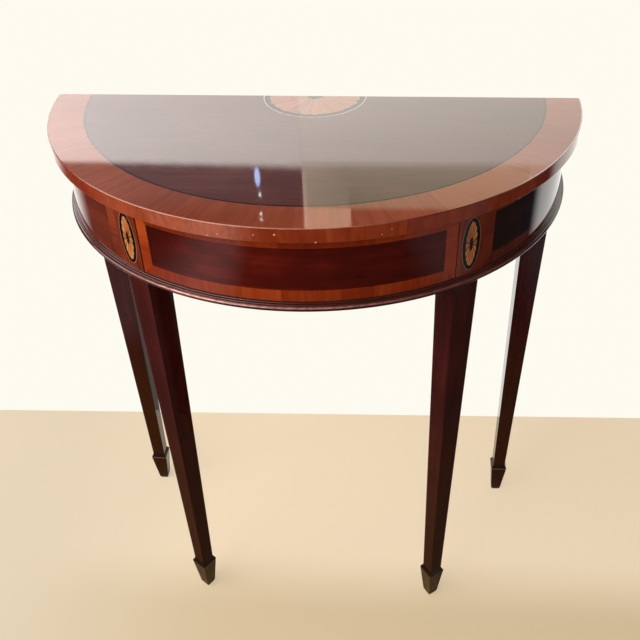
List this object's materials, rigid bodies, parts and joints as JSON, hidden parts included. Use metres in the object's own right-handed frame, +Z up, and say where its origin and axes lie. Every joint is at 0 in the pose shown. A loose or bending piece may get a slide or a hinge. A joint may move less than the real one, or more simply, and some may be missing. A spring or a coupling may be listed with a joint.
{
  "type": "demilune table",
  "caption": "Half-round side table with a veneered top, a bowed frieze drawer, inlaid fan and ovals, and square tapered legs on spade feet.",
  "frame": {"origin": "on the floor, under the middle of the table's outline", "axes": "+Z up, +Y towards the wall behind the straight back edge, +X to the right seen from the front"},
  "size_m": [0.7196, 0.3514, 0.766],
  "materials": {
    "field_veneer": "polished, dark red-brown",
    "banding_veneer": "polished, red-brown with the grain across the band",
    "edge_veneer": "polished, red-brown",
    "panel_veneer": "polished, deep red",
    "facing_veneer": "polished, upright grain",
    "moulding_wood": "polished, reeded",
    "leg_wood": "polished, dark",
    "dark_inlay": "polished, blackened",
    "pale_inlay": "polished, pale",
    "petal_inlay": "polished, light and shaded at the edges",
    "core_wood": "plain, unpolished",
    "drawer_wood": "plain, unpolished",
    "screw_steel": "plain, dulled"
  },
  "bodies": {
    "table": {"top_field_veneer": "field_veneer", "top_crossbanding": "banding_veneer", "left_apron_crossbanding": "banding_veneer", "right_apron_crossbanding": "banding_veneer", "top_edge_band": "edge_veneer", "left_apron_panel": "panel_veneer", "right_apron_panel": "panel_veneer", "left_leg_facing": "facing_veneer", "right_leg_facing": "facing_veneer", "base_moulding": "moulding_wood", "front_left_leg": "leg_wood", "front_right_leg": "leg_wood", "rear_left_leg": "leg_wood", "rear_right_leg": "leg_wood", "top_stringing": "dark_inlay", "fan_ground": "dark_inlay", "fan_hub": "dark_inlay", "left_patera_ground": "dark_inlay", "right_patera_ground": "dark_inlay", "left_patera_hub": "dark_inlay", "right_patera_hub": "dark_inlay", "fan_stringing": "pale_inlay", "left_patera_stringing": "pale_inlay", "right_patera_stringing": "pale_inlay", "fan_petals": "petal_inlay", "left_patera_petals": "petal_inlay", "right_patera_petals": "petal_inlay", "top_board": "core_wood", "left_apron": "core_wood", "right_apron": "core_wood", "back_rail": "core_wood", "front_bottom_rail": "core_wood", "front_top_rail": "core_wood", "left_drawer_runner": "core_wood", "right_drawer_runner": "core_wood", "left_drawer_guide": "core_wood", "right_drawer_guide": "core_wood", "left_kicker": "core_wood", "right_kicker": "core_wood", "drawer_stops": "core_wood", "glue_blocks": "core_wood", "top_screws": "screw_steel"},
    "drawer": {"drawer_front_crossbanding": "banding_veneer", "drawer_front_panel": "panel_veneer", "drawer_front": "drawer_wood", "drawer_left_side": "drawer_wood", "drawer_right_side": "drawer_wood", "drawer_back": "drawer_wood", "drawer_bottom": "drawer_wood", "drawer_bottom_screws": "screw_steel"}
  },
  "joints": [
    {"name": "drawer_slide", "type": "slide", "parent": "table", "child": "drawer", "axis": [0, -1, 0], "range_m": [0, 0.19]}
  ]
}
